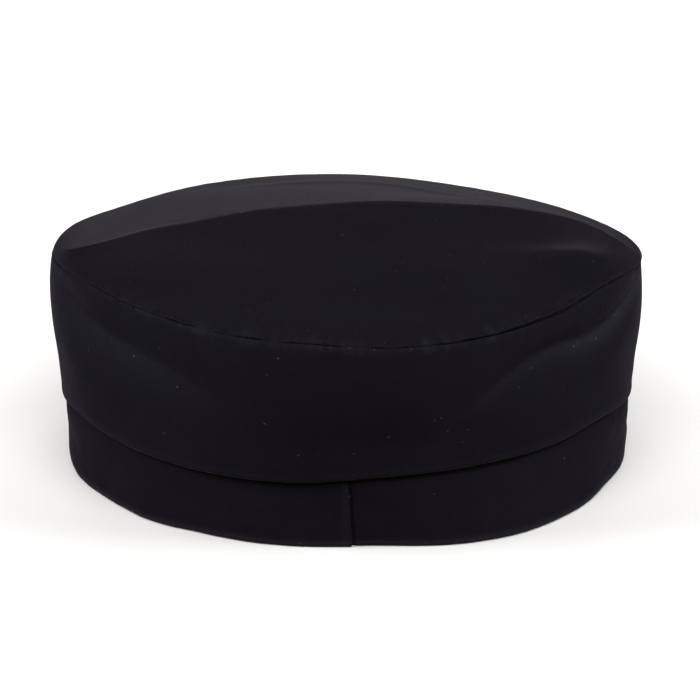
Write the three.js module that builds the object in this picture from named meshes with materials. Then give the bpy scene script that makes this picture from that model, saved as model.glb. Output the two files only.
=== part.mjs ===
// A soft cloth flat cap standing on its rim. Millimetres, +Z up; the wearer faces -Y and +X is their left.
//
// Four sewn pieces: a band round the head, a side wall that puffs out over the band in a soft fold, a top
// panel drawn up to a ridge that runs from side to side, and a short covered peak under the band's front.
// The peak is set in where the band's lower edge lifts off the surface, so the cap rests flat on the rim.
import * as THREE from "three";

// Driving dimensions
const FACETS = 72; // round the whole cap
const CROWN_CLOTH = 1.8; // outer face to inner face, with the seam allowances pressed flat
const BAND_CLOTH = 2.6; // the band is doubled
const PEAK_CLOTH = 2.8; // stiff core with cloth above and below
const GAP = 0.3; // between neighbouring pieces along a seam
const EDGE_FALL = 0.8; // the side wall's top edge falls inwards by this, under the panel
const PANEL_RISE = 0.8; // the panel's outer face stands over the top seam's line by this

// Half sizes of the outer faces, measured from the middle of the head oval
const RIM = { left: 89.2, right: 89.2, back: 103.5, front: 103.5 };
const BAND_TOP = { left: 90.8, right: 90.8, back: 105, front: 105 };
const TOP_SEAM = { left: 94, right: 94.5, back: 109.3, front: 109 };
const BAND_SQUARENESS = 2.2; // 2 is an ellipse, and more fills out its corners
const SEAM_SQUARENESS = 2.06;

// Heights of the band's top edge and of the top seam round the cap, and how far the band splays out at its
// foot; degrees run from +X over the back
const SEAM_LINES = [
  { angle: 0, bandTop: 21.5, topSeam: 65.4, splay: 0.6 },
  { angle: 14, bandTop: 23.4, topSeam: 67.4, splay: 0.9 },
  { angle: 26, bandTop: 25, topSeam: 69, splay: 0 },
  { angle: 38, bandTop: 24.2, topSeam: 69, splay: -0.8 },
  { angle: 50, bandTop: 22.7, topSeam: 67.4, splay: 0.4 },
  { angle: 62, bandTop: 21.4, topSeam: 65.3, splay: 0.2 },
  { angle: 76, bandTop: 20.4, topSeam: 63.6, splay: 1.9 },
  { angle: 84, bandTop: 20.4, topSeam: 63.2, splay: 2.2 },
  { angle: 94, bandTop: 21.7, topSeam: 62.1, splay: 1.1 },
  { angle: 108, bandTop: 22.9, topSeam: 62.4, splay: 4.5 },
  { angle: 120, bandTop: 24, topSeam: 64, splay: 4.8 },
  { angle: 132, bandTop: 25.2, topSeam: 66.3, splay: 3.3 },
  { angle: 144, bandTop: 26.8, topSeam: 69, splay: 1.3 },
  { angle: 155, bandTop: 25.8, topSeam: 68.3, splay: 0 },
  { angle: 168, bandTop: 23.4, topSeam: 65.8, splay: 0.9 },
  { angle: 180, bandTop: 21.8, topSeam: 63.4, splay: 1 },
  { angle: 205, bandTop: 22.5, topSeam: 60.8, splay: 0.6 },
  { angle: 222, bandTop: 24.5, topSeam: 60.6, splay: 0 },
  { angle: 245, bandTop: 27.5, topSeam: 61.4, splay: 0 },
  { angle: 270, bandTop: 29, topSeam: 63.5, splay: 0 },
  { angle: 300, bandTop: 27.5, topSeam: 63.5, splay: 0 },
  { angle: 325, bandTop: 23.5, topSeam: 62.5, splay: 0 },
  { angle: 345, bandTop: 21, topSeam: 64.4, splay: 0.3 },
];

// Outer face of the side wall from its hem up: how far it stands out from the band's top edge on each side,
// at a share of the way from the band's top edge to the wall's own, with a lift over that height
const WALL_ROWS = [
  { share: 0, lift: GAP, left: -2.4, right: -2.4, back: -2.4, front: -2.4 },
  { share: 0, lift: GAP, left: 0.3, right: 0.3, back: 1.8, front: 1.2 },
  { share: 0, lift: 1, left: 1.2, right: 1.1, back: 3.9, front: 2.9 },
  { share: 0.06, lift: 0.5, left: 1.3, right: 1.1, back: 5, front: 3.6 },
  { share: 0.25, lift: 0, left: 2.2, right: 1.4, back: 6.4, front: 4.6 },
  { share: 0.4, lift: 0, left: 3.3, right: 2.2, back: 6.9, front: 5.2 },
  { share: 0.55, lift: 0, left: 4.3, right: 3.1, back: 7.2, front: 5.6 },
  { share: 0.65, lift: 0, left: 4.6, right: 3.5, back: 7.2, front: 5.7 },
  { share: 0.73, lift: 0, left: 4.8, right: 3.8, back: 7.1, front: 5.7 },
  { share: 0.8, lift: 0, left: 4.9, right: 4, back: 7, front: 5.7 },
  { share: 0.88, lift: 0, left: 4.6, right: 4.1, back: 6.5, front: 5.5 },
  { share: 0.94, lift: 0, left: 4.1, right: 4.1, back: 5.7, front: 5.1 },
  { share: 1, lift: 0, left: 3.2, right: 3.7, back: 4.3, front: 4 },
];

// Soft creases that run down from the ends of the top seam towards the middle of the back: height above the
// surface round the cap, and depth. Each has a rounded bottom and dies away above and below it.
const LEFT_CREASE = {
  round: 3.5,
  above: 5,
  below: 7,
  rows: [
    { angle: 4, level: 63, depth: 0 },
    { angle: 14, level: 61.8, depth: 1.6 },
    { angle: 24, level: 60.2, depth: 3 },
    { angle: 32, level: 58, depth: 3.8 },
    { angle: 40, level: 56.2, depth: 4 },
    { angle: 48, level: 54.4, depth: 3.6 },
    { angle: 56, level: 51.8, depth: 2.6 },
    { angle: 64, level: 48, depth: 1.3 },
    { angle: 74, level: 43, depth: 0 },
  ],
};
const RIGHT_CREASE = {
  round: 1.6,
  above: 4.5,
  below: 5,
  rows: [
    { angle: 106, level: 38, depth: 0 },
    { angle: 113, level: 44.5, depth: 1 },
    { angle: 120, level: 51, depth: 2.4 },
    { angle: 126, level: 54.4, depth: 3.4 },
    { angle: 132, level: 55.8, depth: 3.9 },
    { angle: 138, level: 55.6, depth: 4 },
    { angle: 146, level: 56.6, depth: 3.6 },
    { angle: 154, level: 58.6, depth: 2.9 },
    { angle: 162, level: 60.8, depth: 2.2 },
    { angle: 172, level: 62.2, depth: 0.9 },
    { angle: 182, level: 62.4, depth: 0 },
  ],
};
// Broad dents and swellings of the wall: the middle of each, how far it stands out, and its size along and up
const WALL_SWELLS = [
  { angle: 98, level: 31, out: -3.4, wide: 42, tall: 11 },
  { angle: 34, level: 45, out: 1.4, wide: 26, tall: 9 },
  { angle: 146, level: 50, out: 1.8, wide: 24, tall: 8 },
  { angle: 222, level: 40, out: -1.2, wide: 30, tall: 14 },
  { angle: 318, level: 38, out: -1.4, wide: 34, tall: 13 },
];
const MM_PER_DEGREE = 1.78; // round the wall

// The ridge across the top panel: where it runs and how high; the ends run out at the top seam
const RIDGE_ROWS = [
  { x: -86, y: 15, height: 71.2 },
  { x: -75, y: 8, height: 75.4 },
  { x: -54, y: -1, height: 77.9 },
  { x: -27, y: 0, height: 79.9 },
  { x: 0, y: 0, height: 80 },
  { x: 24, y: 3, height: 78.7 },
  { x: 48, y: 12, height: 76.8 },
  { x: 61, y: 20, height: 76.6 },
  { x: 73, y: 29, height: 75.5 },
  { x: 86, y: 35, height: 73.4 },
];
const RIDGE_END = 6; // degrees round the seam towards the back, from +X and from -X
const EVEN_FALL = { behind: 0.95, before: 0.9 }; // share of the fall from ridge to seam that is straight
// Rings of the panel from the seam to the middle
const PANEL_LEVELS = [0.98, 0.93, 0.86, 0.78, 0.69, 0.6, 0.5, 0.4, 0.3, 0.2, 0.1, 0.03];

// A raised fold near the right end of the panel, behind the ridge: its line, and its width to front and back
const REAR_FOLD = {
  before: 8,
  behind: 13,
  rows: [
    { x: -87, y: 61, height: 0 },
    { x: -82, y: 54, height: 0.7 },
    { x: -75, y: 49, height: 1 },
    { x: -67, y: 46, height: 1 },
    { x: -58, y: 41, height: 0.6 },
    { x: -48, y: 40, height: 0.2 },
    { x: -38, y: 42, height: 0 },
  ],
};
// Broad swellings of the panel: the middle of each, its height and its size
const PANEL_SWELLS = [
  { x: -73, y: 45, height: 2.3, size: 14 },
  { x: 62, y: 48, height: 0.6, size: 18 },
  { x: -20, y: 50, height: 0.5, size: 22 },
];
const LEVEL_EDGE = 0.1; // share of the panel, in from the seam, over which folds and swellings die away

// The peak, and the lift of the band's lower edge over it
const FRONT_LIFT = 11; // at the middle of the front
const LIFT_START = 0.25; // share of the way from the side to the front where the lift begins
const PEAK = {
  spread: 58, // degrees from the middle of the front to each end
  steps: 28,
  tuck: 2, // under the band, from its outer face
  lip: 1, // level strip in front of the band
  length: 50,
  endWidth: 1.6, // left at the ends, out from the band
  fullness: 0.9, // under 1 squares off the outline
  arch: 1.2, // height of the top between root and edge
  middle: 5.2, // height of the edge's underside
  end: 0.9,
  shares: [0, 0.3, 0.65, 1],
};

const CLOTH_COLOUR = 0x19161e;
const CLOTH_ROUGHNESS = 0.95;

const { degToRad, radToDeg, lerp, smoothstep } = THREE.MathUtils;
const ANGLES = Array.from({ length: FACETS }, (_, i) => (i * 360) / FACETS);

// Smooth curve through one column of a table, by its key column.
function curveThrough(rows, key, column) {
  const places = rows.map((row) => row[key]);
  const values = rows.map((row) => row[column]);
  const curve = new THREE.CubicInterpolant(places, values, 1, new Float64Array(1));
  return (place) => curve.evaluate(place)[0];
}

// The same curve where the key is an angle, closed round the cap.
function curveRound(rows, column) {
  const turns = [-360, 0, 360];
  const repeated = turns.flatMap((turn) => rows.map((row) => ({ ...row, angle: row.angle + turn })));
  return curveThrough(repeated, "angle", column);
}

// Half sizes made larger by another set of half sizes, or by one amount all round.
function grown(half, by) {
  const amount = (side) => (typeof by === "number" ? by : by[side]);
  return {
    left: half.left + amount("left"),
    right: half.right + amount("right"),
    back: half.back + amount("back"),
    front: half.front + amount("front"),
  };
}

// Point of a rounded oval at an angle from +X over the back.
function ovalPoint(angle, half, squareness) {
  const across = Math.cos(degToRad(angle));
  const along = Math.sin(degToRad(angle));
  const width = across > 0 ? half.left : half.right;
  const depth = along > 0 ? half.back : half.front;
  return {
    x: width * Math.sign(across) * Math.abs(across) ** (2 / squareness),
    y: depth * Math.sign(along) * Math.abs(along) ** (2 / squareness),
  };
}

// Closed solid through loops of [x, y, z] points that run counterclockwise about the direction from the first
// loop to the last. A ringed solid joins its last loop to its first, and any other has its end loops filled.
function loft(loops, ringed) {
  const size = loops[0].length;
  const last = loops.length - 1;
  const indices = [];
  for (let i = 0; i < (ringed ? last + 1 : last); i += 1) {
    const here = i * size;
    const next = ((i + 1) % loops.length) * size;
    for (let j = 0; j < size; j += 1) {
      const k = (j + 1) % size;
      indices.push(here + j, here + k, next + k, here + j, next + k, next + j);
    }
  }
  for (let j = 1; !ringed && j < size - 1; j += 1) {
    indices.push(0, j + 1, j, last * size, last * size + j, last * size + j + 1);
  }
  const geometry = new THREE.BufferGeometry();
  geometry.setAttribute("position", new THREE.Float32BufferAttribute(loops.flat(2), 3));
  geometry.setIndex(indices);
  geometry.computeVertexNormals();
  return geometry;
}

const bandTop = curveRound(SEAM_LINES, "bandTop");
const topSeam = curveRound(SEAM_LINES, "topSeam");
const splay = curveRound(SEAM_LINES, "splay");

// Height of the band's lower edge: on the surface at the back and sides, lifted over the peak.
function bandBottom(angle) {
  return FRONT_LIFT * smoothstep(-Math.sin(degToRad(angle)), LIFT_START, 1);
}

// Height of the panel's outer face where it meets the side wall.
function panelEdge(angle) {
  return topSeam(angle) + PANEL_RISE;
}

// Height of the side wall's top edge, a gap under the panel.
function wallTop(angle) {
  return panelEdge(angle) - CROWN_CLOTH - GAP;
}

function bandGeometry() {
  const footAt = (inward) =>
    ANGLES.map((angle) => {
      const point = ovalPoint(angle, grown(RIM, splay(angle) - inward), BAND_SQUARENESS);
      return [point.x, point.y, bandBottom(angle)];
    });
  const topAt = (inward) =>
    ANGLES.map((angle) => {
      const point = ovalPoint(angle, grown(BAND_TOP, -inward), BAND_SQUARENESS);
      return [point.x, point.y, bandTop(angle)];
    });
  return loft([footAt(0), topAt(0), topAt(BAND_CLOTH), footAt(BAND_CLOTH)], true);
}

// A soft rise of 1 at no distance that dies away over the width.
function hump(distance, width) {
  return Math.exp(-((distance / width) ** 2));
}

// A crease as its rows, its sizes and the curves through its rows.
function creaseThrough(crease) {
  return {
    ...crease,
    level: curveThrough(crease.rows, "angle", "level"),
    depth: curveThrough(crease.rows, "angle", "depth"),
  };
}

const wallCreases = [LEFT_CREASE, RIGHT_CREASE].map(creaseThrough);

// How far the wall's dents, swellings and creases move it out, at an angle and a height.
function wallRelief(angle, height) {
  let out = 0;
  for (const { round, above, below, rows, level, depth } of wallCreases) {
    if (angle > rows[0].angle && angle < rows[rows.length - 1].angle) {
      const distance = height - level(angle);
      out -= depth(angle) * Math.exp((round - Math.hypot(distance, round)) / (distance > 0 ? above : below));
    }
  }
  for (const swell of WALL_SWELLS) {
    const beside = (angle - swell.angle) * MM_PER_DEGREE;
    out += swell.out * hump(beside, swell.wide) * hump(height - swell.level, swell.tall);
  }
  return out;
}

// One ring of the side wall. The inner face is the outer one moved in, and at the hem moved up. The hem is
// held on the band and has no relief.
function wallRing(row, inward, upward) {
  const squareness = lerp(BAND_SQUARENESS, SEAM_SQUARENESS, row.share);
  return ANGLES.map((angle) => {
    const height = lerp(bandTop(angle), wallTop(angle), row.share) + row.lift;
    const relief = row === WALL_ROWS[0] ? 0 : wallRelief(angle, height);
    const point = ovalPoint(angle, grown(grown(BAND_TOP, row), relief - inward), squareness);
    return [point.x, point.y, height + upward];
  });
}

function crownSideGeometry() {
  const [hem, , foldEdge] = WALL_ROWS;
  const innerRows = WALL_ROWS.slice(4).reverse();
  const hemLift = CROWN_CLOTH + hem.lift - foldEdge.lift;
  return loft(
    [
      ...WALL_ROWS.map((row) => wallRing(row, 0, 0)),
      ...innerRows.map((row) => wallRing(row, CROWN_CLOTH, -EDGE_FALL * row.share)),
      wallRing(foldEdge, CROWN_CLOTH, hemLift),
      wallRing(hem, 0, CROWN_CLOTH),
    ],
    true,
  );
}

const leftEnd = ovalPoint(RIDGE_END, TOP_SEAM, SEAM_SQUARENESS);
const rightEnd = ovalPoint(180 - RIDGE_END, TOP_SEAM, SEAM_SQUARENESS);
const ridge = [
  { ...rightEnd, height: panelEdge(180 - RIDGE_END) },
  ...RIDGE_ROWS,
  { ...leftEnd, height: panelEdge(RIDGE_END) },
];
const ridgeY = curveThrough(ridge, "x", "y");
const ridgeHeight = curveThrough(ridge, "x", "height");
const foldY = curveThrough(REAR_FOLD.rows, "x", "y");
const foldHeight = curveThrough(REAR_FOLD.rows, "x", "height");

// How far the panel's fold and swellings raise it.
function panelRelief(x, y) {
  const beside = y - foldY(x);
  let rise = foldHeight(x) * hump(beside, beside < 0 ? REAR_FOLD.before : REAR_FOLD.behind);
  for (const swell of PANEL_SWELLS) {
    rise += swell.height * hump(Math.hypot(x - swell.x, y - swell.y), swell.size);
  }
  return rise;
}

// Outer face of the top panel. REACH is 1 at the seam and 0 in the middle; the spokes that run to the ridge's
// two ends are bent to lie along it, and between ridge and seam the cloth falls more steeply near the seam.
function panelPoint(angle, reach) {
  const rim = ovalPoint(angle, TOP_SEAM, SEAM_SQUARENESS);
  const x = rim.x * reach;
  const spokeY = leftEnd.y * Math.min(1, Math.abs(x) / leftEnd.x);
  const behind = rim.y * reach >= spokeY;
  const cosine = Math.sign(x) * Math.min(1, Math.abs(x) / TOP_SEAM.left) ** (SEAM_SQUARENESS / 2);
  const seamAngle = (behind ? 1 : -1) * radToDeg(Math.acos(cosine));
  const seamY = ovalPoint(seamAngle, TOP_SEAM, SEAM_SQUARENESS).y;
  const out = reach === 1 ? 1 : (rim.y * reach - spokeY) / (seamY - spokeY);
  const even = behind ? EVEN_FALL.behind : EVEN_FALL.before;
  const fall = even * out + (1 - even) * out ** 3;
  const y = reach === 1 ? rim.y : lerp(ridgeY(x), seamY, out);
  const height = lerp(ridgeHeight(x), panelEdge(reach === 1 ? angle : seamAngle), fall);
  return [x, y, height + panelRelief(x, y) * smoothstep(1 - reach, 0, LEVEL_EDGE)];
}

function crownTopGeometry() {
  const panelRing = (reach, drop) =>
    ANGLES.map((angle) => {
      const [x, y, z] = panelPoint(angle, reach);
      return [x, y, z - drop];
    });
  const inner = [...PANEL_LEVELS].reverse().map((reach) => panelRing(reach, CROWN_CLOTH));
  const outer = PANEL_LEVELS.map((reach) => panelRing(reach, 0));
  const edge = [CROWN_CLOTH, 0.4 * CROWN_CLOTH].map((drop) => panelRing(1, drop));
  return loft([...inner, ...edge, ...outer], false);
}

// The peak's loops run round its thickness, from the wearer's right end to the left one. A level strip is
// tucked under the band, and the rest arches out to the edge.
function peakGeometry() {
  const end = ovalPoint(270 + PEAK.spread, grown(RIM, PEAK.endWidth), BAND_SQUARENESS);
  const loops = [];
  for (let i = 0; i <= PEAK.steps; i += 1) {
    const turn = lerp(-1, 1, i / PEAK.steps);
    const angle = 270 + turn * PEAK.spread;
    const tucked = ovalPoint(angle, grown(RIM, -PEAK.tuck), BAND_SQUARENESS);
    const root = ovalPoint(angle, grown(RIM, PEAK.lip), BAND_SQUARENESS);
    const sweep = degToRad(turn * 90);
    const edgeX = end.x * Math.sin(sweep);
    const edgeY = end.y - (RIM.front + PEAK.length + end.y) * Math.cos(sweep) ** PEAK.fullness;
    const rootTop = bandBottom(angle) - GAP;
    const edgeTop = lerp(PEAK.middle, PEAK.end, Math.sin(sweep) ** 2) + PEAK_CLOTH;
    const at = (share, drop) => [
      lerp(root.x, edgeX, share),
      lerp(root.y, edgeY, share),
      lerp(rootTop, edgeTop, share) + PEAK.arch * Math.cos(sweep) * 4 * share * (1 - share) - drop,
    ];
    const top = PEAK.shares.map((share) => at(share, 0));
    const under = [...PEAK.shares].reverse().map((share) => at(share, PEAK_CLOTH));
    const tuckedAt = (drop) => [tucked.x, tucked.y, rootTop - drop];
    loops.push([tuckedAt(0), ...top, ...under, tuckedAt(PEAK_CLOTH)]);
  }
  return loft(loops, false);
}

function clothPiece(name, geometry) {
  const material = new THREE.MeshStandardMaterial({
    color: CLOTH_COLOUR,
    roughness: CLOTH_ROUGHNESS,
    metalness: 0,
  });
  const piece = new THREE.Mesh(geometry, material);
  piece.name = name;
  return piece;
}

const cap = new THREE.Group();
cap.add(
  clothPiece("band", bandGeometry()),
  clothPiece("crown_side", crownSideGeometry()),
  clothPiece("crown_top", crownTopGeometry()),
  clothPiece("peak", peakGeometry()),
);

// The part's origin is the middle of its box, on the surface that the rim stands on.
const box = new THREE.Box3().setFromObject(cap);
const middle = box.getCenter(new THREE.Vector3());
cap.position.set(-middle.x, -middle.y, -box.min.z);

export default cap;
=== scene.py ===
import math
from bisect import bisect_right

import bmesh
import bpy
from mathutils import Matrix, Vector, noise


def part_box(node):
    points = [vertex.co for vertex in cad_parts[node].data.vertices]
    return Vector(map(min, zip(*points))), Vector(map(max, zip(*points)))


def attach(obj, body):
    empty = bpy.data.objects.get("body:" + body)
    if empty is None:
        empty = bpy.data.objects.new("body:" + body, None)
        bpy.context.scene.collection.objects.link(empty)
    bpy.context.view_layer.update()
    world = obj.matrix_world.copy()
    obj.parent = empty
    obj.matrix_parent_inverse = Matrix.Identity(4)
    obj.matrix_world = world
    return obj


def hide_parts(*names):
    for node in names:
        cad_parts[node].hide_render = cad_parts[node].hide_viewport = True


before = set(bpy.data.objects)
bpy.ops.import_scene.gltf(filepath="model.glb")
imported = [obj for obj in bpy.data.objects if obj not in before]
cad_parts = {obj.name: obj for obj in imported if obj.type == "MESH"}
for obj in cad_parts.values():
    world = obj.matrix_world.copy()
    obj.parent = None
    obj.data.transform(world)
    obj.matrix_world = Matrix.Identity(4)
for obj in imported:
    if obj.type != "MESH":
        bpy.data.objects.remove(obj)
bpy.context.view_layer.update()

# A soft cloth flat cap standing on its rim. +Z is up, the wearer faces -Y and +X is their left. Sizes and
# tables are in millimetres from the middle of the head oval, and become metres in the part's frame when the
# cloth is laid.

# --- Headband ---------------------------------------------------------------------------------------------
# A strip of brushed cotton twill folded double along its lower edge and pressed, closed by a lapped seam at
# the middle of the back. The cap stands on the fold, which lifts at the front where the peak is set in.
MM = 0.001
band_low, band_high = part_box("band")
HEAD_MIDDLE = Vector(((band_low.x + band_high.x) / 2, (band_low.y + band_high.y) / 2, 0))


def table(columns, *rows):
    """Rows of named values."""
    return [dict(zip(columns, row)) for row in rows]


def curve_through(rows, key, column):
    """Smooth curve through one column of a table by its key column, with both sides' mean slope at a row."""
    places = [row[key] for row in rows]
    values = [row[column] for row in rows]
    rates = [(values[i + 1] - values[i]) / (places[i + 1] - places[i]) for i in range(len(rows) - 1)]
    slopes = [rates[0], *((a + b) / 2 for a, b in zip(rates, rates[1:])), rates[-1]]

    def at(place):
        i = min(max(bisect_right(places, place) - 1, 0), len(rates) - 1)
        span = places[i + 1] - places[i]
        t = (place - places[i]) / span
        ends = values[i] * (1 + 2 * t) * (1 - t) ** 2 + values[i + 1] * t * t * (3 - 2 * t)
        return ends + span * t * (1 - t) * (slopes[i] * (1 - t) - slopes[i + 1] * t)

    return at


def curve_round(rows, column):
    """The same curve where the key is an angle in degrees, closed round the cap."""
    turns = [{**row, "angle": row["angle"] + turn} for turn in (-360, 0, 360) for row in rows]
    return curve_through(turns, "angle", column)


# Heights of the band's top edge and of the seam round the top panel, and how far the band splays out at its
# foot. Then, for the top seam: how hard its thread pulls, how far its groove stands open, and how rough the
# nap beside it is, each 0 where the seam lies flat, shut and new. Degrees run from +X over the back.
SEAM_LINES = table(
    ("angle", "band_top", "top_seam", "splay", "pull", "open", "rough"),
    (0, 21.5, 65.4, 0.6, 0.15, 0, 0),
    (14, 23.4, 67.4, 0.9, 0.15, 0, 0),
    (26, 25.0, 69.0, 0, 0.25, 0.3, 0),
    (38, 24.2, 69.0, -0.8, 0.45, 0.6, 0.1),
    (50, 22.7, 67.4, 0.4, 0.6, 0.5, 0.15),
    (62, 21.4, 65.3, 0.2, 0.7, 0.3, 0.22),
    (76, 20.4, 63.6, 1.9, 0.6, 0.15, 0.25),
    (84, 20.4, 63.2, 2.2, 0.5, 0.1, 0.2),
    (94, 21.7, 62.1, 1.1, 0.5, 0.1, 0.15),
    (108, 22.9, 62.4, 4.5, 0.6, 0.7, 0.26),
    (120, 24.0, 64.0, 4.8, 0.6, 1.9, 0.22),
    (132, 25.2, 66.3, 3.3, 0.6, 2.4, 0.15),
    (144, 26.8, 69.0, 1.3, 0.5, 2.0, 0),
    (155, 25.8, 68.3, 0, 0.3, 1.0, 0),
    (168, 23.4, 65.8, 0.9, 0.1, 0, 0),
    (180, 21.8, 63.4, 1, 0.1, 0, 0),
    (205, 22.5, 60.8, 0.6, 0.1, 0.1, 0),
    (222, 24.5, 60.6, 0, 0.1, 0.1, 0),
    (245, 27.5, 61.4, 0, 0.1, 0.1, 0),
    (270, 29.0, 63.5, 0, 0.1, 0.1, 0),
    (300, 27.5, 63.5, 0, 0.1, 0.1, 0),
    (325, 23.5, 62.5, 0, 0.1, 0.1, 0),
    (345, 21.0, 64.4, 0.3, 0.1, 0.1, 0),
)
band_top = curve_round(SEAM_LINES, "band_top")
foot_splay = curve_round(SEAM_LINES, "splay")

# Half sizes of the band at its foot and at its top.
SIDES = ("left", "right", "back", "front")
RIM = dict(zip(SIDES, (89.2, 89.2, 103.5, 103.5)))
BAND_TOP = dict(zip(SIDES, (90.8, 90.8, 105, 105)))
BAND_SQUARENESS = 2.2  # 2 is an ellipse, and more fills out its corners
FRONT_LIFT = 11  # of the foot, at the middle of the front
LIFT_START = 0.25  # share of the way from the side to the front where the foot begins to lift


def grown(half, by):
    """Half sizes moved out by one amount all round, or by an amount for each side."""
    return {side: half[side] + (by[side] if isinstance(by, dict) else by) for side in SIDES}


def blended(one, other, share):
    """Half sizes a share of the way from one set to another."""
    return {side: one[side] + (other[side] - one[side]) * share for side in SIDES}


def oval_point(angle, half, squareness):
    """Point of a rounded oval at an angle in degrees."""
    across, along = math.cos(math.radians(angle)), math.sin(math.radians(angle))
    width = half["left"] if across > 0 else half["right"]
    depth = half["back"] if along > 0 else half["front"]
    x = width * math.copysign(abs(across) ** (2 / squareness), across)
    return x, depth * math.copysign(abs(along) ** (2 / squareness), along)


def eased(place, start, end):
    """0 on START's side, 1 on END's side and smooth between, whichever of them is larger."""
    t = min(max((place - start) / (end - start), 0), 1)
    return t * t * (3 - 2 * t)


def hump(distance, width):
    """A soft rise of 1 at no distance that dies away over the width."""
    return math.exp(-((distance / width) ** 2))


def band_bottom(angle):
    """Height of the band's foot."""
    return FRONT_LIFT * eased(-math.sin(math.radians(angle)), LIFT_START, 1)


def waviness(x, y, z, size):
    """Slow unevenness of soft cloth, about -1 to 1, with waves of the given size in millimetres."""
    return noise.noise(Vector((x, y, z)) / size)


def crowded(place, amount):
    """A place from 0 to 1 moved so that places crowd to both ends, or to the middle for an amount below 0."""
    return place - amount * math.sin(2 * math.pi * place) / (2 * math.pi)


SAME_POINT = 0.00001  # metres; points nearer than this are one


def lay_cloth(columns, rows, size, place, wear_and_painted_highlight, crowd=(0, 0)):
    """A grid of cloth of a size in metres, each point of it laid at PLACE(across, along) in millimetres.
    The UV map holds metres along the cloth, and doubled points are merged where edges are sewn together.
    A float attribute holds how pale the nap is, from wear and from painted highlights, as the function given
    after
    PLACE returns it at (across, along), and CROWD is how much the grid's lines crowd together in each
    direction."""
    cloth = bmesh.new()
    to_unit_square = Matrix.Translation((0.5, 0.5, 0))
    bmesh.ops.create_grid(cloth, x_segments=columns, y_segments=rows, size=0.5, matrix=to_unit_square)
    for point in cloth.verts:
        point.co = (crowded(point.co.x, crowd[0]), crowded(point.co.y, crowd[1]), 0)
    weave = cloth.loops.layers.uv.new("cloth")
    wear_and_highlight = cloth.verts.layers.float.new("wear_and_painted_highlight")
    for corner in (corner for face in cloth.faces for corner in face.loops):
        corner[weave].uv = (corner.vert.co.x * size[0], corner.vert.co.y * size[1])
    for point in cloth.verts:
        across, along = point.co.x, point.co.y
        point[wear_and_highlight] = wear_and_painted_highlight(across, along)
        point.co = Vector(place(across, along)) * MM + HEAD_MIDDLE
    bmesh.ops.remove_doubles(cloth, verts=cloth.verts, dist=SAME_POINT)
    for face in cloth.faces:
        face.smooth = True
    return cloth


def finish_piece(cloth, name, materials, node):
    """Makes the piece from its bmesh; it rides on the body, and stands for the CAD node given."""
    mesh = bpy.data.meshes.new(name)
    cloth.to_mesh(mesh)
    cloth.free()
    for material in materials:
        mesh.materials.append(material)
    piece = bpy.data.objects.new(name, mesh)
    bpy.context.scene.collection.objects.link(piece)
    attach(piece, "root")
    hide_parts(node)
    return piece


def linear(colour):
    """An sRGB hex colour as linear red, green, blue and alpha."""
    parts = [int(colour[i : i + 2], 16) / 255 for i in (1, 3, 5)]
    return (*(c / 12.92 if c <= 0.04045 else ((c + 0.055) / 1.055) ** 2.4 for c in parts), 1)


def add_node(material, kind, inputs, **settings):
    """Adds a shader node. An input takes a value or another node's output."""
    tree = material.node_tree
    node = tree.nodes.new("ShaderNode" + kind)
    for name, value in settings.items():
        setattr(node, name, value)
    for name, value in inputs.items():
        socket = node.inputs[name]
        if isinstance(value, bpy.types.NodeSocket):
            tree.links.new(value, socket)
        else:
            socket.default_value = value
    return node


def new_material(name):
    """A material with no nodes in it yet."""
    material = bpy.data.materials.new(name)
    material.use_nodes = True
    material.node_tree.nodes.clear()
    return material


# Scales of the cloth's patterns. Each but the ribs' is the number of its cells in a metre. A wave texture's
# diagonal bands are 444 mm apart at a scale of 1, so the ribs' scale is 444 over their spacing.
PATCHES = 60  # cloudy patches, 17 mm across
TUFTS = 900  # tufts of nap, 1.1 mm across
RIBS = 490  # the twill's ribs, drawn 0.9 mm apart because the real 0.4 mm is too fine to show
LINT_CELLS = 160  # a speck of lint at most to every 6 mm
FLUFF_CELLS = 480  # and to every 2 mm where the nap is roughest
FRAY = 1500  # the torn outline of a speck, in nicks of 0.7 mm
FRAY_REACH = (0.0012, 0.0012, 0)  # metres, the most that the outline strays
# Each cell draws a random value from 0 to 1, to which the pale nap adds, worn nap and painted highlights
# alike, and has a speck if that passes a bar.
LINT_CATCH = 1.5  # added where the nap is fully rubbed
LINT_BAR = 0.8
FLUFF_BAR = 1.25


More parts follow.
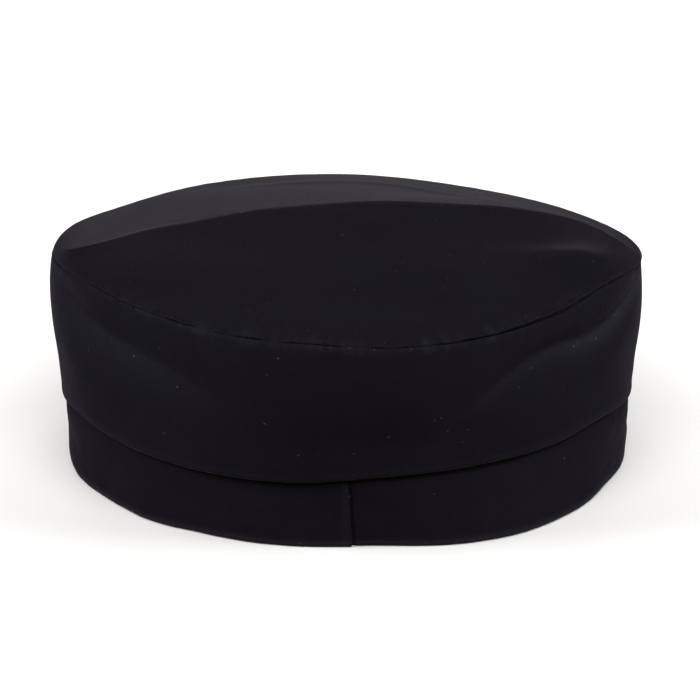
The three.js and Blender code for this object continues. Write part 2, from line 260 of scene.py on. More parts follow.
def cotton_twill(name, shades, sheen):
    """Navy-black cotton twill: its darkest, usual and palest shades, and how much its nap glows edge-on."""
    cotton = new_material(name)
    weave_map = add_node(cotton, "UVMap", {}, uv_map="cloth").outputs["UV"]
    place_map = add_node(cotton, "TexCoord", {}).outputs["Object"]
    wear_and_painted_highlight = add_node(cotton, "Attribute", {}, attribute_name="wear_and_painted_highlight").outputs["Fac"]
    patches = add_node(
        cotton, "TexNoise", {"Vector": place_map, "Scale": PATCHES, "Detail": 4, "Roughness": 0.6}
    )
    nap = add_node(cotton, "TexNoise", {"Vector": place_map, "Scale": TUFTS, "Detail": 3, "Roughness": 0.7})
    ribs = add_node(
        cotton, "TexWave", {"Vector": weave_map, "Scale": RIBS, "Distortion": 1.5}, bands_direction="DIAGONAL"
    )
    cloth_colour = add_node(
        cotton,
        "MixRGB",
        {"Fac": patches.outputs["Fac"], "Color1": linear(shades[0]), "Color2": linear(shades[1])},
    )
    fibre_colour = add_node(
        cotton,
        "MixRGB",
        {"Fac": nap.outputs["Fac"], "Color1": cloth_colour.outputs["Color"], "Color2": linear(shades[2])},
    )
    # Along folds and edges the nap is rubbed paler, unevenly; the same pale mix also paints highlights where
    # the shelf below a crease and the ridge catch the light.
    wear_and_highlight = add_node(cotton, "Math", {0: wear_and_painted_highlight, 1: nap.outputs["Fac"]}, operation="MULTIPLY")
    worn_and_highlight_colour = add_node(
        cotton,
        "MixRGB",
        {"Fac": wear_and_highlight.outputs["Value"], "Color1": fibre_colour.outputs["Color"], "Color2": linear("#34323a")},
    )
    # Lint: faint torn specks up to 0.6 mm long, one to every 15 mm square or so, and more on rubbed nap and
    # where highlights are painted.
    torn = add_node(cotton, "TexNoise", {"Vector": weave_map, "Scale": FRAY, "Detail": 1})
    bent_map = add_node(
        cotton,
        "VectorMath",
        {0: torn.outputs["Color"], 1: FRAY_REACH, 2: weave_map},
        operation="MULTIPLY_ADD",
    )
    lint_cells = add_node(
        cotton,
        "TexVoronoi",
        {"Vector": bent_map.outputs["Vector"], "Scale": LINT_CELLS},
        voronoi_dimensions="2D",
    )
    lint_spot = add_node(
        cotton,
        "MapRange",
        {"Value": lint_cells.outputs["Distance"], "From Min": 0.05, "From Max": 0.015, "To Max": 0.24},
    )
    lint_catch = add_node(
        cotton, "Math", {0: wear_and_painted_highlight, 1: LINT_CATCH, 2: lint_cells.outputs["Color"]}, operation="MULTIPLY_ADD"
    )
    lint_choice = add_node(
        cotton, "Math", {0: lint_catch.outputs["Value"], 1: LINT_BAR}, operation="GREATER_THAN"
    )
    lint = add_node(
        cotton,
        "Math",
        {0: lint_spot.outputs["Result"], 1: lint_choice.outputs["Value"]},
        operation="MULTIPLY",
    )
    # Where the nap is roughest more lint is caught, in fainter specks that lie closer together.
    fluff_cells = add_node(
        cotton,
        "TexVoronoi",
        {"Vector": bent_map.outputs["Vector"], "Scale": FLUFF_CELLS},
        voronoi_dimensions="2D",
    )
    fluff_spot = add_node(
        cotton,
        "MapRange",
        {"Value": fluff_cells.outputs["Distance"], "From Min": 0.22, "From Max": 0.08, "To Max": 0.12},
    )
    fluff_catch = add_node(
        cotton, "Math", {0: wear_and_painted_highlight, 1: LINT_CATCH, 2: fluff_cells.outputs["Color"]}, operation="MULTIPLY_ADD"
    )
    fluff_choice = add_node(
        cotton, "Math", {0: fluff_catch.outputs["Value"], 1: FLUFF_BAR}, operation="GREATER_THAN"
    )
    all_lint = add_node(
        cotton,
        "Math",
        {0: fluff_spot.outputs["Result"], 1: fluff_choice.outputs["Value"], 2: lint.outputs["Value"]},
        operation="MULTIPLY_ADD",
    )
    surface_colour = add_node(
        cotton,
        "MixRGB",
        {
            "Fac": all_lint.outputs["Value"],
            "Color1": worn_and_highlight_colour.outputs["Color"],
            "Color2": linear("#6c6872"),
        },
    )
    roughness = add_node(cotton, "MapRange", {"Value": nap.outputs["Fac"], "To Min": 0.6, "To Max": 0.8})
    rib_relief = add_node(
        cotton, "Bump", {"Height": ribs.outputs["Fac"], "Strength": 0.18, "Distance": 0.0001}
    )
    nap_relief = add_node(
        cotton,
        "Bump",
        {
            "Height": nap.outputs["Fac"],
            "Strength": 0.5,
            "Distance": 0.0004,
            "Normal": rib_relief.outputs["Normal"],
        },
    )
    face = add_node(
        cotton,
        "BsdfPrincipled",
        {
            "Base Color": surface_colour.outputs["Color"],
            "Roughness": roughness.outputs["Result"],
            "Normal": nap_relief.outputs["Normal"],
            "IOR": 1.5,
            "Specular IOR Level": 0,
            "Sheen Weight": sheen,
            "Sheen Roughness": 0.2,
            "Sheen Tint": (0.95, 0.92, 1, 1),
        },
    )
    add_node(cotton, "OutputMaterial", {"Surface": face.outputs["BSDF"]})
    return cotton


# The brushed face of the cloth is matt and nearly black, and pales where it turns away, from the sheen of its
# nap. It has faint cloudy patches where the nap lies differently, and a little pale lint. Loose fibres
# scatter all the light that a smooth cloth would mirror, so it has no specular. The back of the cloth is flat
# and darker. The same darker cloth without sheen is also laid on the outside as painted shade: in the groove
# of the top seam, on the underside of the wall's fold and on the band's top edge under that fold.
brushed_twill = cotton_twill("brushed_cotton_twill", ("#080609", "#100f15", "#110f14"), 0.045)
back_and_shade_twill = cotton_twill("cotton_twill_back_and_painted_shade", ("#070609", "#09080b", "#0b0a0d"), 0)

# The strip's section, from the lowest point of the fold up the outer face, over the top and down the inner
# one: a share of the height, a lift over that, and how far out it lies. The doubled strip is 2.6 mm thick.
BAND_SECTION = table(
    ("along", "share", "lift", "out"),
    (0, 0, 0, -1.3),
    (0.02, 0, 0.35, -0.4),
    (0.045, 0, 1.3, 0),
    (0.25, 0.5, 0, 0),
    (0.42, 0.86, 0, 0),
    (0.455, 0.93, 0, -0.35),
    (0.48, 0.98, 0, -0.95),
    (0.505, 1, 0, -1.7),
    (0.53, 1, -0.3, -2.3),
    (0.56, 1, -0.9, -2.6),
    (0.75, 0.5, 0, -2.6),
    (0.955, 0, 1.3, -2.6),
    (0.98, 0, 0.35, -2.2),
    (1, 0, 0, -1.3),
)
band_share = curve_through(BAND_SECTION, "along", "share")
band_lift = curve_through(BAND_SECTION, "along", "lift")
band_out = curve_through(BAND_SECTION, "along", "out")
BAND_SEAM = 90.1  # degrees, at the top edge
SEAM_SLANT = 0.6  # degrees further round at the foot
LAP = 0.4  # how proud the lapping end stands
LAP_FOOT = 0.5  # and how much more at the foot
LAP_FADE = 6  # over this length the lapping end sinks back to the strip
LAP_GROOVE = {"deep": 0.7, "beyond": 0.3, "wide": 0.35}  # the narrow groove just beyond the lap
LAP_DIP = {"deep": 0.2, "fade": 4}  # how far the strip there is pressed in, and over what length that fades
MM_PER_DEGREE = 1.78  # round the cap


def band_angle(across):
    """The strip starts and ends at the middle of the front."""
    return BAND_SEAM + 360 * (across - 0.5)


def outer_face(along):
    """1 on the strip's outer face and 0 on its inner one."""
    return eased(band_out(along), -1.8, -0.6)


def band_point(across, along):
    """Point of the strip."""
    angle = band_angle(across)
    share = min(max(band_share(along), 0), 1)
    low, high = band_bottom(angle), band_top(angle)
    z = low + (high - low) * share + band_lift(along)
    from_seam = (angle - BAND_SEAM - SEAM_SLANT * (1 - share)) * MM_PER_DEGREE
    if from_seam < 0:
        lap = (LAP + LAP_FOOT * (1 - share) ** 5) * math.exp(from_seam / LAP_FADE)
    else:
        dent = LAP_GROOVE["deep"] * hump(from_seam - LAP_GROOVE["beyond"], LAP_GROOVE["wide"])
        lap = -dent - LAP_DIP["deep"] * math.exp(-from_seam / LAP_DIP["fade"])
    x, y = oval_point(angle, RIM, BAND_SQUARENESS)
    # The strip waves in and out a little, in waves of 28 mm and in weaker ones of 9 mm.
    soft = 0.5 * waviness(x, y, z, 28) + 0.25 * waviness(x + 200, y, z * 2, 9)
    out = band_out(along) + soft + lap * outer_face(along)
    half = grown(blended(grown(RIM, foot_splay(angle)), BAND_TOP, share), out)
    return (*oval_point(angle, half, BAND_SQUARENESS), max(z, 0))


def band_wear(across, along):
    """Rubbed on the fold at its foot, where the peak doesn't cover it, and on the lapped end."""
    from_seam = (band_angle(across) - BAND_SEAM) * MM_PER_DEGREE
    bare = eased(math.sin(math.radians(band_angle(across))), -0.5, 0)
    return outer_face(along) * (0.5 * bare * hump(along - 0.03, 0.03) + 0.1 * hump(from_seam + 0.4, 0.7))


def give_dark_cloth(cloth, strip, dark_faces):
    """Gives the darker cloth, which is the back of the cloth and painted shade, to the faces that the given
    test picks by their share of the way across the strip.
    """
    weave = cloth.loops.layers.uv["cloth"]
    for face in cloth.faces:
        share = face.loops[0][weave].uv.y / strip[1]
        face.material_index = 1 if dark_faces(share) else 0


BAND_STRIP = (0.61, 0.05)  # metres, the length and width of the cloth
BAND_DARK_FROM = 0.435  # the share of the section past which it takes the darker cloth: inside it is the back of the cloth, and on its top edge under the wall's fold it is painted shadow
# The grid's columns crowd to the middle of the strip, where the lap needs them.
band_cloth = lay_cloth(720, 44, BAND_STRIP, band_point, band_wear, crowd=(-0.85, 0))
# The darker cloth on the band's top edge, under the wall's fold, is painted shadow.
give_dark_cloth(band_cloth, BAND_STRIP, lambda share: share > BAND_DARK_FROM)
finish_piece(band_cloth, "band_cloth", [brushed_twill, back_and_shade_twill], "band")

# --- Side wall --------------------------------------------------------------------------------------------
# One strip of the same twill round the crown. Its lower edge is sewn inside the band's top edge, so the soft
# cloth bags out over the band in a fold, and its top edge is seamed to the top panel.
CROWN_CLOTH = 1.1  # thickness
SEAM_SQUARENESS = 2.06  # of the oval that the top seam follows
top_seam = curve_round(SEAM_LINES, "top_seam")
seam_pull = curve_round(SEAM_LINES, "pull")
groove = curve_round(SEAM_LINES, "open")
roughed = curve_round(SEAM_LINES, "rough")
# The outer face from hem to top seam: the share of the height from the band's top edge to the seam, a lift
# over that, and how far the cloth stands out from the band's top edge on each side.
WALL_SECTION = table(
    ("along", "share", "lift", "left", "right", "back", "front"),
    (0, 0, 1.3, -2.4, -2.4, -2.4, -2.4),
    (0.02, 0, 0.8, -1.6, -1.6, -1.6, -1.6),
    (0.04, 0, 0.4, -0.4, -0.4, -0.2, -0.3),
    (0.055, 0, 0.1, 0.3, 0.3, 1.0, 0.7),
    (0.075, 0, 0.1, 1.0, 0.9, 2.6, 1.9),
    (0.1, 0, 0.9, 1.3, 1.2, 3.9, 2.9),
    (0.14, 0.05, 0.6, 1.3, 1.1, 4.9, 3.5),
    (0.32, 0.25, 0, 2.2, 1.4, 6.4, 4.6),
    (0.58, 0.55, 0, 4.3, 3.1, 7.2, 5.6),
    (0.8, 0.8, 0, 4.9, 4.0, 7.0, 5.7),
    (0.91, 0.93, 0, 4.2, 4.1, 5.9, 5.2),
    (0.955, 0.985, 0, 3.5, 3.8, 4.8, 4.4),
    (0.98, 1, -0.2, 2.8, 3.2, 3.8, 3.6),
    (1, 1, -1.2, 2.0, 2.3, 2.8, 2.6),
)
wall_share = curve_through(WALL_SECTION, "along", "share")
wall_lift = curve_through(WALL_SECTION, "along", "lift")
wall_out = {side: curve_through(WALL_SECTION, "along", side) for side in SIDES}

# Soft creases that run down from the ends of the top seam towards the middle of the back: how high above the
# table each lies round the cap, how deep it is, and how pale the cloth just below it is, a painted highlight
# on the shelf there that faces the light.
LEFT_CREASE = table(
    ("angle", "level", "depth", "rub_and_highlight"),
    (4, 63, 0, 0),
    (14, 61.8, 1.6, 0.05),
    (24, 60.2, 3.0, 0.09),
    (32, 58, 3.8, 0.11),
    (40, 56.2, 4.0, 0.12),
    (48, 54.4, 3.6, 0.11),
    (56, 51.8, 2.6, 0.08),
    (64, 48, 1.3, 0.04),
    (74, 43, 0, 0),
)
RIGHT_CREASE = table(
    ("angle", "level", "depth", "rub_and_highlight"),
    (106, 38, 0, 0),
    (113, 44.5, 1.0, 0.05),
    (120, 51, 2.4, 0.12),
    (126, 54.4, 3.4, 0.16),
    (132, 55.8, 3.9, 0.19),
    (138, 55.6, 4.0, 0.28),
    (146, 56.6, 3.6, 0.32),
    (154, 58.6, 2.9, 0.34),
    (162, 60.8, 2.2, 0.34),
    (172, 62.2, 0.9, 0.25),
    (182, 62.4, 0, 0),
)
# Each crease has a rounded bottom, dies away above and below it, and has a painted highlight, paler nap, for
# some way below.
WALL_CREASES = [
    {
        "from": rows[0]["angle"],
        "to": rows[-1]["angle"],
        "level": curve_through(rows, "angle", "level"),
        "depth": curve_through(rows, "angle", "depth"),
        "rub_and_highlight": curve_through(rows, "angle", "rub_and_highlight"),
        **shape,
    }
    for rows, shape in (
        (LEFT_CREASE, {"round": 3.5, "above": 5, "below": 7, "wear_and_painted_highlight": 7}),
        (RIGHT_CREASE, {"round": 1.6, "above": 4.5, "below": 5, "wear_and_painted_highlight": 3.4}),
    )
]


def crease_depth(crease, angle, level):
    """How deep a crease is at a level, falling away from its rounded bottom at a rate for each side."""
    distance = level - crease["level"](angle)
    away = math.hypot(distance, crease["round"]) - crease["round"]
    return crease["depth"](angle) * math.exp(-away / crease["above" if distance > 0 else "below"])


# Broad dents and swellings of the wall: the middle of each, how far it stands out, and its width and height.
WALL_SWELLS = table(
    ("angle", "level", "out", "wide", "tall"),
    (98, 31, -3.4, 42, 11),
    (34, 45, 1.4, 26, 9),
    (146, 50, 1.8, 24, 8),
    (222, 40, -1.2, 30, 14),
    (318, 38, -1.4, 34, 13),
)
STITCHES = 246  # round the top seam, each 2.6 mm long
SEAM_CIRCLE = 102  # radius of a circle as long as the seam
DIMPLE = {"deep": 0.25, "uneven": 0.6, "reach": 1.8}  # where a stitch pulls the cloth in
GATHER = {"deep": 0.7, "wave": 5, "reach": 6}  # where the cloth bunches or slackens over a few stitches
SEAM_SHUT = {"up": 0.6, "out": 0.5}  # how far the wall's top edge moves to the panel to shut the groove


def round_the_seam(angle, size, pattern):
    """Unevenness along the seam, closing up round the cap: the size of its waves in millimetres, and any
    number for PATTERN, each of which gives other waves."""
    turn = math.radians(angle)
    place = Vector((math.cos(turn) * SEAM_CIRCLE / size, math.sin(turn) * SEAM_CIRCLE / size, pattern))
    return noise.noise(place)


def puckers(angle, from_seam):
    """How far the thread pulls the cloth in beside the seam: a dimple at each stitch, and wider gathers."""
    uneven = 1 + DIMPLE["uneven"] * round_the_seam(angle, 6, 2.1)
    dimple = (0.5 + 0.5 * math.cos(math.radians(STITCHES * angle))) * hump(from_seam, DIMPLE["reach"])
    gather = round_the_seam(angle, GATHER["wave"], 7.3) * math.exp(-from_seam / GATHER["reach"])
    return seam_pull(angle) * (DIMPLE["deep"] * uneven * dimple + GATHER["deep"] * gather)


def nap_beside_seam(angle, from_seam, reach):
    """Roughed nap beside the seam, in patches along it that reach some way from it."""
    patch = max(0.1 + 1.1 * round_the_seam(angle, 2, 4.6), 0)
    return roughed(angle) * patch * hump(from_seam - 0.5 * reach, reach)


def seam_gap(angle):
    """How far the groove along the seam stands open; where it is nearly shut it comes and goes."""
    return groove(angle) + 0.45 * round_the_seam(angle, 8, 9.2)


def at_top_edge(along):
    """1 on the wall's top edge, which is turned in to the seam, and 0 below it."""
    return eased(along, 0.95, 0.985)


def wall_level(angle, along):
    """Height above the table; the top edge closes up to the panel where the groove is shut."""
    height = top_seam(angle) - band_top(angle)
    closing = SEAM_SHUT["up"] * (1 - seam_gap(angle)) * at_top_edge(along)
    return band_top(angle) + height * wall_share(along) + wall_lift(along) + closing


def wall_point(across, along):
    """Point of the wall's outer face."""
    angle = 360 * across
    share, height = wall_share(along), top_seam(angle) - band_top(angle)
    z = wall_level(angle, along)
    x, y = oval_point(angle, BAND_TOP, BAND_SQUARENESS)
    out = 0.9 * waviness(x, y, z, 38) * eased(share, 0, 0.2) * eased(share, 1, 0.85)
    for crease in WALL_CREASES:
        if crease["from"] < angle < crease["to"]:
            out -= crease_depth(crease, angle, z)
    for swell in WALL_SWELLS:
        beside = ((angle - swell["angle"] + 180) % 360 - 180) * MM_PER_DEGREE
        out += swell["out"] * hump(beside, swell["wide"]) * hump(z - swell["level"], swell["tall"])
    edge = at_top_edge(along)
    closing = SEAM_SHUT["out"] * (1 - seam_gap(angle)) * edge
    out += closing - puckers(angle, (1 - share) * height) * (1 - 0.7 * edge)
    half = grown(grown(BAND_TOP, {side: wall_out[side](along) for side in SIDES}), out)
    squareness = BAND_SQUARENESS + (SEAM_SQUARENESS - BAND_SQUARENESS) * min(max(share, 0), 1)
    return (*oval_point(angle, half, squareness), z)


def wall_wear_and_highlight(across, along):
    """Rubbed on the fold over the band and beside the top seam; the paler nap on the shelf below each crease
    is a painted highlight where the shelf faces the light.
    """
    angle = 360 * across
    from_seam = (1 - wall_share(along)) * (top_seam(angle) - band_top(angle))
    rub_and_highlight = 0.12 * hump(along - 0.11, 0.03) + 0.14 * hump(along - 0.97, 0.02)
    rub_and_highlight += nap_beside_seam(angle, from_seam, 1.1)
    for crease in WALL_CREASES:
        if crease["from"] < angle < crease["to"]:
            below = crease["level"](angle) - wall_level(angle, along)
            # Painted highlight: paler nap on the shelf below the crease, where it faces the light.
            rub_and_highlight += crease["rub_and_highlight"](angle) * eased(below, -1, 1) * hump(below, crease["wear_and_painted_highlight"])
    return rub_and_highlight


def thicken(piece):
    """Gives a single cloth its thickness, inwards, with the back of the cloth inside and at its raw edge."""
    thickness = piece.modifiers.new("cloth_thickness", "SOLIDIFY")
    thickness.thickness = CROWN_CLOTH * MM
    thickness.offset = -1
    thickness.material_offset = 1
    thickness.material_offset_rim = 1


WALL_STRIP = (0.64, 0.062)  # metres, the length and width of the cloth
HEM_DARK_TO = 0.07  # the share of the strip that is turned under; the darker cloth there is painted shade under the fold
# The grid's rows crowd to the hem and to the top edge, where the cloth turns most.
wall_cloth = lay_cloth(860, 48, WALL_STRIP, wall_point, wall_wear_and_highlight, crowd=(0, 0.55))
# The darker cloth on the underside of the fold over the band is painted shade.
give_dark_cloth(wall_cloth, WALL_STRIP, lambda share: share < HEM_DARK_TO)
thicken(finish_piece(wall_cloth, "wall_cloth", [brushed_twill, back_and_shade_twill], "crown_side"))

# --- Top panel --------------------------------------------------------------------------------------------
# An oval of the same twill, seamed all round to the side wall. Worn and laid down, it is drawn up to a ridge
# that runs from side to side, and falls from there to the seam in front and behind.
TOP_SEAM = dict(zip(SIDES, (94, 94.5, 109.3, 109)))
RIDGE_ENDS = 6  # degrees round the seam towards the back, from +X and from -X
PANEL_RISE = 0.8  # of the panel's edge over the seam's line
left_x, left_y = oval_point(RIDGE_ENDS, TOP_SEAM, SEAM_SQUARENESS)
right_x, right_y = oval_point(180 - RIDGE_ENDS, TOP_SEAM, SEAM_SQUARENESS)
RIDGE = table(
    ("x", "y", "height"),
    (right_x, right_y, top_seam(180 - RIDGE_ENDS) + PANEL_RISE),
    (-86, 15, 71.2),
    (-75, 8, 75.4),
    (-54, -1, 77.9),
    (-27, 0, 79.9),
    (0, 0, 80),
    (24, 3, 78.7),
    (48, 12, 76.8),
    (61, 20, 76.6),
    (73, 29, 75.5),
    (86, 35, 73.4),
    (left_x, left_y, top_seam(RIDGE_ENDS) + PANEL_RISE),
)
ridge_y = curve_through(RIDGE, "x", "y")
ridge_height = curve_through(RIDGE, "x", "height")
# Raised folds: one near the right end of the panel, behind the ridge, and a faint long one in front of it.
REAR_FOLD = table(
    ("x", "y", "height"),
    (-87, 61, 0),
    (-82, 54, 0.7),
    (-75, 49, 1.0),
    (-67, 46, 1.0),
    (-58, 41, 0.6),
    (-48, 40, 0.2),
    (-38, 42, 0),
)
FRONT_FOLD = table(
    ("x", "y", "height"),
    (-56, -10, 0),
    (-45, -26, 0.3),
    (-30, -46, 0.4),
    (-15, -62, 0.4),
    (4, -68, 0.4),
    (26, -70, 0.3),
    (50, -64, 0),
)
PANEL_FOLDS = [
    {
        "from": rows[0]["x"],
        "to": rows[-1]["x"],
        "y": curve_through(rows, "x", "y"),
        "height": curve_through(rows, "x", "height"),
        "far": far,
        "near": near,
    }
    for rows, far, near in ((REAR_FOLD, 8, 13), (FRONT_FOLD, 6, 6))
]
# Broad dents and swellings of the panel: the middle of each, how high it stands, and its size.
PANEL_SWELLS = table(
    ("x", "y", "height", "size"),
    (-73, 45, 2.3, 14),
    (62, 48, 0.6, 18),
    (-20, 50, 0.5, 22),
)
EVEN_FALL = {"behind": 0.95, "before": 0.9}  # share of the fall from ridge to seam that is straight


def panel_place(angle, reach):
    """Point of the panel without its relief, and the angle of the seam nearest it. REACH is 1 at the seam and
    0 in the middle; the lines out to the ridge's two ends are bent to lie along it."""
    rim_x, rim_y = oval_point(angle, TOP_SEAM, SEAM_SQUARENESS)
    x = rim_x * reach
    line_y = left_y * min(1, abs(x) / left_x)
    behind = rim_y * reach >= line_y
    cosine = math.copysign(min(1, abs(x) / TOP_SEAM["left"]) ** (SEAM_SQUARENESS / 2), x)
    seam_angle = math.degrees(math.acos(cosine)) * (1 if behind else -1)
    seam_y = oval_point(seam_angle, TOP_SEAM, SEAM_SQUARENESS)[1]
    at_rim = reach > 0.9999
    out = 1 if at_rim else (rim_y * reach - line_y) / (seam_y - line_y)
    edge_angle = (angle if at_rim else seam_angle) % 360
    y = rim_y if at_rim else ridge_y(x) + (seam_y - ridge_y(x)) * out
    even = EVEN_FALL["behind" if behind else "before"]
    fall = even * out + (1 - even) * out**3
    z = ridge_height(x) + (top_seam(edge_angle) + PANEL_RISE - ridge_height(x)) * fall
    return x, y, z, edge_angle


def panel_reach(across, along):
    """The square grid laid as an oval, its middle row along the ridge and its four edges along the seam: the
    angle of a point, and how far out it is from 0 in the middle to 1 at the seam."""
    u, v = 2 * across - 1, 2 * along - 1
    disc_x, disc_y = u * math.sqrt(1 - v * v / 2), v * math.sqrt(1 - u * u / 2)
    turn = math.degrees(math.atan2(disc_y, disc_x)) % 360
    if turn <= 180:
        angle = RIDGE_ENDS + turn * (180 - 2 * RIDGE_ENDS) / 180
    else:
        angle = 180 - RIDGE_ENDS + (turn - 180) * (180 + 2 * RIDGE_ENDS) / 180
    return angle, min(math.hypot(disc_x, disc_y), 1)


PANEL_RADIUS = 95  # a little under the mean, from the middle to the seam
LEVEL_EDGE = 9.5  # in from the seam, over which folds and swellings die away


def panel_point(across, along):
    """Point of the panel's outer face."""
    angle, reach = panel_reach(across, along)
    x, y, z, edge_angle = panel_place(angle, reach)
    from_seam = (1 - reach) * PANEL_RADIUS
    relief = 0
    for fold in PANEL_FOLDS:
        if fold["from"] < x < fold["to"]:
            beside = y - fold["y"](x)
            relief += fold["height"](x) * hump(beside, fold["far" if beside < 0 else "near"])
    for swell in PANEL_SWELLS:
        relief += swell["height"] * hump(math.hypot(x - swell["x"], y - swell["y"]), swell["size"])
    relief += 0.9 * waviness(x, y, 50, 40) * eased(from_seam, 0, 20)
    return x, y, z + relief * eased(from_seam, 0, LEVEL_EDGE) - puckers(edge_angle, from_seam)


def panel_wear_and_highlight(across, along):
    """Pale along the ridge, most towards its left end, from worn nap and a painted highlight where the crest
    catches the light from behind; and rubbed beside the seam.
    """
    angle, reach = panel_reach(across, along)
    from_seam = (1 - reach) * PANEL_RADIUS
    # Along the ridge the pale nap is wear and a painted highlight of the crest.
    ridge = 0.2 + 0.6 * eased(across, 0.65, 0.85) - 0.8 * eased(across, 0.9, 0.97)
    beside_seam = 0.1 * hump(from_seam, 1) + nap_beside_seam(angle % 360, from_seam, 2.8)
    return ridge * hump(along - 0.5, 0.006) + beside_seam


panel_cloth = lay_cloth(180, 180, (0.19, 0.22), panel_point, panel_wear_and_highlight)
# The edge turns down and in to the seam, each row further in and lower, and past the first it takes the
# darker cloth without sheen, painted shade in the seam's groove.
for inward, drop, painted_shade_index in ((0.1, 0.3, 0), (0.4, 0.5, 1), (0.8, 0.6, 1), (1.0, 0.8, 1)):
    edges = [edge for edge in panel_cloth.edges if edge.is_boundary]
    turned = bmesh.ops.extrude_edge_only(panel_cloth, edges=edges)["geom"]
    for face in (part for part in turned if isinstance(part, bmesh.types.BMFace)):
        face.material_index = painted_shade_index
    for point in (part for part in turned if isinstance(part, bmesh.types.BMVert)):
        local = (point.co - HEAD_MIDDLE) / MM
        step = -Vector((local.x, local.y, 0)).normalized() * inward - Vector((0, 0, drop))
        point.co = (local + step) * MM + HEAD_MIDDLE
for face in panel_cloth.faces:
    face.smooth = True
thicken(finish_piece(panel_cloth, "panel_cloth", [brushed_twill, back_and_shade_twill], "crown_top"))

# --- Peak -------------------------------------------------------------------------------------------------
# A stiff board covered with the same twill, bent to the head and a little arched. Its inner edge is set in
# under the band's lifted front edge.
PEAK_CLOTH = 2.8  # thickness, board and cloth together
PEAK_SPREAD = 58  # degrees from the middle of the front to each end
PEAK_LENGTH = 50
PEAK_FULLNESS = 0.9  # under 1 squares off the outline
PEAK_END_WIDTH = 0.4  # left at the ends, out from the band
PEAK_TUCK = 0.5  # how far its root is pushed up into the fold of the band
PEAK_ARCH = 1.2  # how far it rises between root and edge
PEAK_EDGE = {"middle": 5.2, "end": 0.9}  # height of the edge's underside
# Round the board's section: a share of the way from band to edge, and a drop below the top face.
PEAK_SECTION = table(
    ("along", "share", "drop"),
    (0, -0.03, 1.4),
    (0.02, -0.03, 0.2),
    (0.05, 0, 0),
    (0.25, 0.5, 0),
    (0.44, 0.95, 0),
    (0.47, 0.985, 0.3),
    (0.5, 1, 1.4),
    (0.53, 0.985, 2.5),
    (0.56, 0.95, 2.8),
    (0.75, 0.5, 2.8),
    (0.95, 0, 2.8),
    (0.98, -0.03, 2.6),
    (1, -0.03, 1.4),
)
peak_share = curve_through(PEAK_SECTION, "along", "share")
peak_drop = curve_through(PEAK_SECTION, "along", "drop")
peak_end = oval_point(270 + PEAK_SPREAD, grown(RIM, PEAK_END_WIDTH), BAND_SQUARENESS)


def peak_top(across, share):
    """Point of the board's top face, ACROSS from the right end to the left and a SHARE of the way out."""
    turn = 2 * across - 1
    angle = 270 + turn * PEAK_SPREAD
    root_x, root_y = oval_point(angle, RIM, BAND_SQUARENESS)
    sweep = math.radians(90 * turn)
    edge_x = peak_end[0] * math.sin(sweep)
    reach = RIM["front"] + PEAK_LENGTH + peak_end[1]
    edge_y = peak_end[1] - reach * max(math.cos(sweep), 0) ** PEAK_FULLNESS
    root_z = band_bottom(angle) + PEAK_TUCK
    drop_to_end = (PEAK_EDGE["end"] - PEAK_EDGE["middle"]) * math.sin(sweep) ** 2
    edge_z = PEAK_EDGE["middle"] + drop_to_end + PEAK_CLOTH
    level = max(share, 0)
    arch = PEAK_ARCH * math.cos(sweep) * 4 * level * (1 - level)
    return Vector((
        root_x + (edge_x - root_x) * share,
        root_y + (edge_y - root_y) * share,
        root_z + (edge_z - root_z) * level + arch,
    ))


def peak_point(across, along):
    """Point of the board's face."""
    return peak_top(across, peak_share(along)) - Vector((0, 0, peak_drop(along)))


def peak_wear(across, along):
    """Rubbed round the outer edge."""
    return 0.7 * hump(along - 0.5, 0.02)


peak_cloth = lay_cloth(200, 80, (0.2, 0.11), peak_point, peak_wear)
bmesh.ops.holes_fill(peak_cloth, edges=[edge for edge in peak_cloth.edges if edge.is_boundary], sides=0)
finish_piece(peak_cloth, "peak_cloth", [brushed_twill], "peak")

# --- Table top --------------------------------------------------------------------------------------------
# A round sheet of plain pale card that the cap stands on. Card is matt, with only the faint shine of paper,
# so the cap leaves a soft shadow on it and no reflection.
paper = new_material("white_card")
paper_face = add_node(paper, "BsdfPrincipled", {
    "Base Color": linear("#c8c7c5"),
    "Roughness": 0.9,
    "Specular IOR Level": 0.1,
})
add_node(paper, "OutputMaterial", {"Surface": paper_face.outputs["BSDF"]})
TABLE_RADIUS = 1.1  # metres
surface = bmesh.new()
bmesh.ops.create_circle(surface, cap_ends=True, segments=128, radius=TABLE_RADIUS)
surface_mesh = bpy.data.meshes.new("table_top")
surface.to_mesh(surface_mesh)
surface.free()
surface_mesh.materials.append(paper)
table_top = bpy.data.objects.new("table_top", surface_mesh)
bpy.context.scene.collection.objects.link(table_top)

# --- Light ------------------------------------------------------------------------------------------------
# A white studio. Soft lights stand low at both sides and one stands above the back of the cap, which the
# camera sees, and weaker ones stand beyond the cap, in front of its peak.
world = bpy.data.worlds.new("studio")
world.use_nodes = True
world.node_tree.nodes.clear()
bpy.context.scene.world = world
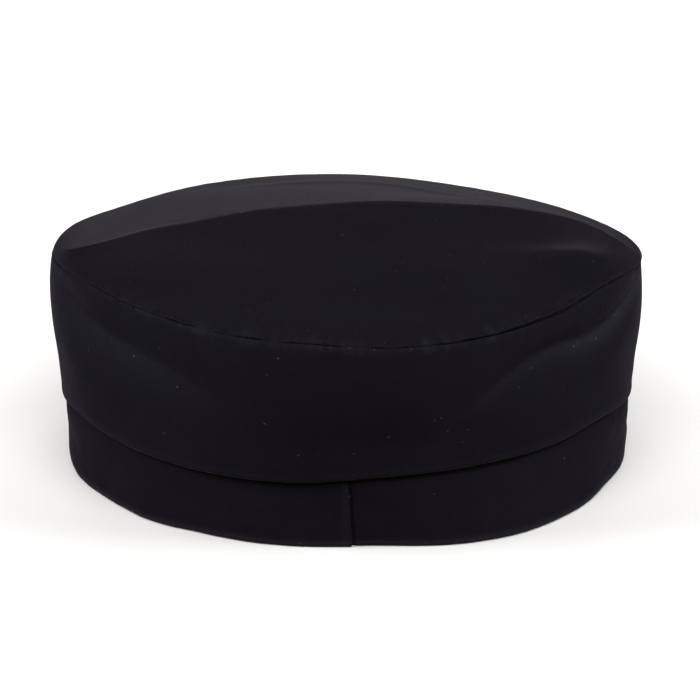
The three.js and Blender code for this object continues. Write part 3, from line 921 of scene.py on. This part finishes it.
# The backdrop looks white and sheds a weak, even light.
room = add_node(world, "Background", {"Color": (1, 1, 1, 1), "Strength": 0.12})
sweep_white = add_node(world, "Background", {"Color": (1, 1, 1, 1), "Strength": 1})
seen = add_node(world, "LightPath", {}).outputs["Is Camera Ray"]
mixed = add_node(
    world,
    "MixShader",
    {0: seen, 1: room.outputs["Background"], 2: sweep_white.outputs["Background"]},
)
add_node(world, "OutputWorld", {"Surface": mixed.outputs["Shader"]})

cap_middle = HEAD_MIDDLE + Vector((0, 0, 0.04))


def soft_light(name, place, size, power):
    """A square soft light aimed at the cap, with its place and size in metres and its power in watts."""
    light = bpy.data.lights.new(name, "AREA")
    light.size = size
    light.energy = power
    lamp = bpy.data.objects.new(name, light)
    lamp.location = place
    lamp.rotation_euler = (cap_middle - Vector(place)).to_track_quat("-Z", "Y").to_euler()
    lamp.visible_camera = False
    bpy.context.scene.collection.objects.link(lamp)


soft_light("left_softbox", (1.3, 0.2, 0.5), 0.8, 29)
soft_light("right_softbox", (-1.3, 0.2, 0.5), 0.8, 28)
soft_light("near_softbox", (0, 1.1, 1.3), 1.2, 29)
soft_light("far_left_softbox", (1.1, -0.8, 0.5), 0.8, 7)
soft_light("far_right_softbox", (-1.1, -0.8, 0.5), 0.8, 9)
soft_light("far_softbox", (0, -1.5, 0.7), 1.3, 20)

# --- Camera -----------------------------------------------------------------------------------------------
# Straight behind the cap and a little above it, about a metre away. The lens is long, so the cap fills the
# frame and its far side looks hardly smaller than its near side.
CAMERA_RISE = math.radians(16.02)
CAMERA_DISTANCE = 1.05
aim = HEAD_MIDDLE + Vector((-0.001, 0, 0.0307))  # the middle of the view
camera = bpy.data.objects.new("camera", bpy.data.cameras.new("camera"))
camera.data.sensor_width = 36
camera.data.lens = 166.2
camera.location = aim + CAMERA_DISTANCE * Vector((0, math.cos(CAMERA_RISE), math.sin(CAMERA_RISE)))
camera.rotation_euler = (aim - camera.location).to_track_quat("-Z", "Y").to_euler()
bpy.context.scene.collection.objects.link(camera)
bpy.context.scene.camera = camera
bpy.context.scene.view_settings.view_transform = "Standard"
